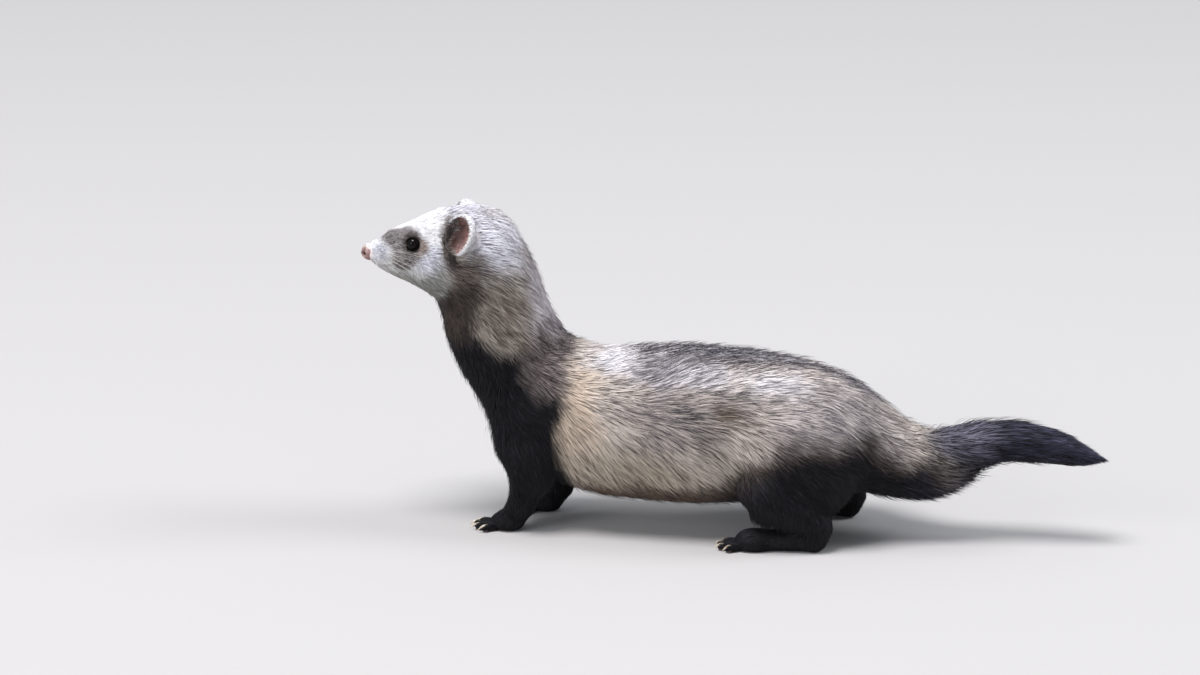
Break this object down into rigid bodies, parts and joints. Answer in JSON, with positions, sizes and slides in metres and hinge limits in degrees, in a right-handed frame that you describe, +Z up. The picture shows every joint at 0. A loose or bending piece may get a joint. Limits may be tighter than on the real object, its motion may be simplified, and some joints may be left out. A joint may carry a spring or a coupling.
{
  "type": "ferret",
  "caption": "Life-size still model of a sable ferret standing with its neck raised, tail held straight back, pale masked face, black legs and tail.",
  "frame": {"origin": "on the floor under the soles, below the middle of the whole animal's box", "axes": "+Z up, the animal faces -X with its tail along +X, and its left side is -Y"},
  "size_m": [0.421, 0.102, 0.184],
  "materials": {
    "pale_fur": "matt, dense short fur, off-white with a grey-brown mask",
    "grey_fur": "matt, dense fur, grey-brown over a pale underfur",
    "cream_fur": "matt, dense fur, cream underfur with grey-brown guard hairs",
    "dark_fur": "soft sheen, dense black-brown fur",
    "tail_fur": "soft sheen, long blue-black guard hair",
    "ear_skin": "satin, thin pink-brown skin",
    "nose_skin": "satin, moist pink-brown skin",
    "eye_surface": "wet gloss, near black",
    "claw_horn": "satin, pale brown horn",
    "whisker_hair": "satin, stiff pale hair"
  },
  "bodies": {
    "root": {"head": "pale_fur", "nose": "nose_skin", "eye_left": "eye_surface", "eye_right": "eye_surface", "ear_left": "ear_skin", "ear_right": "ear_skin", "neck": "grey_fur", "torso_shoulders": "dark_fur", "torso_flanks": "cream_fur", "torso_rump": "cream_fur", "tail_root": "cream_fur", "tail_brush": "tail_fur", "front_left_leg": "dark_fur", "front_left_foot": "dark_fur", "front_right_leg": "dark_fur", "front_right_foot": "dark_fur", "hind_left_leg": "dark_fur", "hind_left_foot": "dark_fur", "hind_right_leg": "dark_fur", "hind_right_foot": "dark_fur"}
  },
  "joints": []
}
